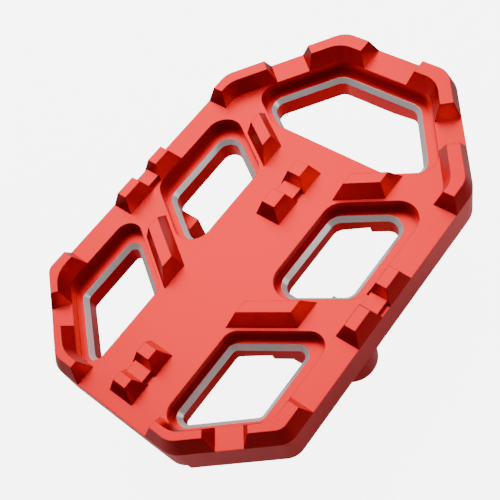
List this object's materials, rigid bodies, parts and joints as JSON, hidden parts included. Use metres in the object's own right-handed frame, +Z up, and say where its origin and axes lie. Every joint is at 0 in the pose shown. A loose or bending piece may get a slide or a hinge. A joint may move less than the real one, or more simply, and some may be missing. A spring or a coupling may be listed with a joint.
{
  "type": "clamp-on foot peg plate",
  "caption": "Wide flat foot plate with a toothed, windowed tread that clamps onto a foot peg with a bolted bridge underneath.",
  "frame": {"origin": "on the tilted seat face of the underside, on the plate's centre line, under the middle of the clamp bridge", "axes": "+X along the plate, from its closed end to its open end window; +Y across it, towards the proud edge of the seat; +Z up, out of the tread"},
  "size_m": [0.11, 0.072, 0.0325],
  "materials": {
    "red_anodised": "fine bead-blasted and red anodised, with bare cut bevels around the tread windows",
    "screw_steel": "polished stainless steel"
  },
  "bodies": {
    "plate": {"tread_plate": "red_anodised"},
    "bridge": {"clamp_bridge": "red_anodised"},
    "left_screw": {"clamp_screw_left": "screw_steel"},
    "right_screw": {"clamp_screw_right": "screw_steel"}
  },
  "joints": [
    {"name": "bridge_lift", "type": "slide", "parent": "plate", "child": "bridge", "axis": [0, 0, -1], "range_m": [0, 0.025]},
    {"name": "left_screw_out", "type": "slide", "parent": "bridge", "child": "left_screw", "axis": [0, 0, -1], "range_m": [0, 0.018]},
    {"name": "right_screw_out", "type": "slide", "parent": "bridge", "child": "right_screw", "axis": [0, 0, -1], "range_m": [0, 0.018]}
  ]
}
